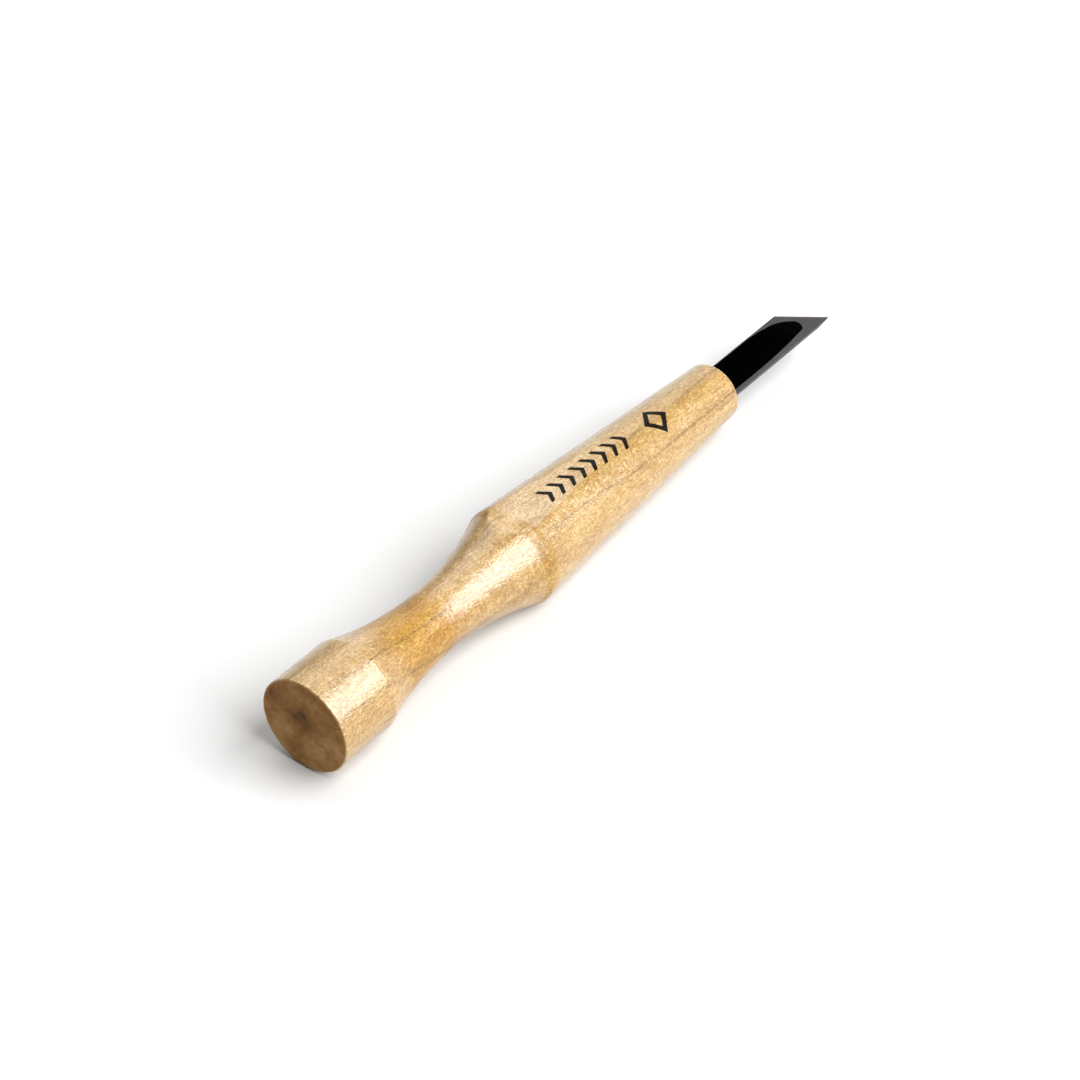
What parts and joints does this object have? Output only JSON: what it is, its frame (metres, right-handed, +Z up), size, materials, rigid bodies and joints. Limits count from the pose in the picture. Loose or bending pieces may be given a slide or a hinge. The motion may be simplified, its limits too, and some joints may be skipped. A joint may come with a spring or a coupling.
{
  "type": "skew chip carving knife",
  "caption": "Small carving knife with a skewed, hollow-backed laminated blade set in a turned wooden handle with a round butt, a slim waist and flats.",
  "frame": {"origin": "centre of the handle's flat butt face, on the turning axis", "axes": "+X along the handle's turning axis towards the tip, +Z up and square to the blade's hollow upper face, +Y to the heel side of the skewed edge"},
  "size_m": [0.1725, 0.0224, 0.021],
  "materials": {
    "handle_wood": "clear satin lacquer over a pale, close-grained hardwood",
    "hard_steel": "dark steel, satin rim around a blackened ground hollow",
    "soft_iron": "dark forged iron, ground bright on the bevel",
    "glue": "set amber glue",
    "ink": "flat black ink"
  },
  "bodies": {
    "root": {"handle": "handle_wood", "blade_steel": "hard_steel", "blade_iron": "soft_iron", "tang_glue": "glue", "print_mark": "ink"}
  },
  "joints": []
}
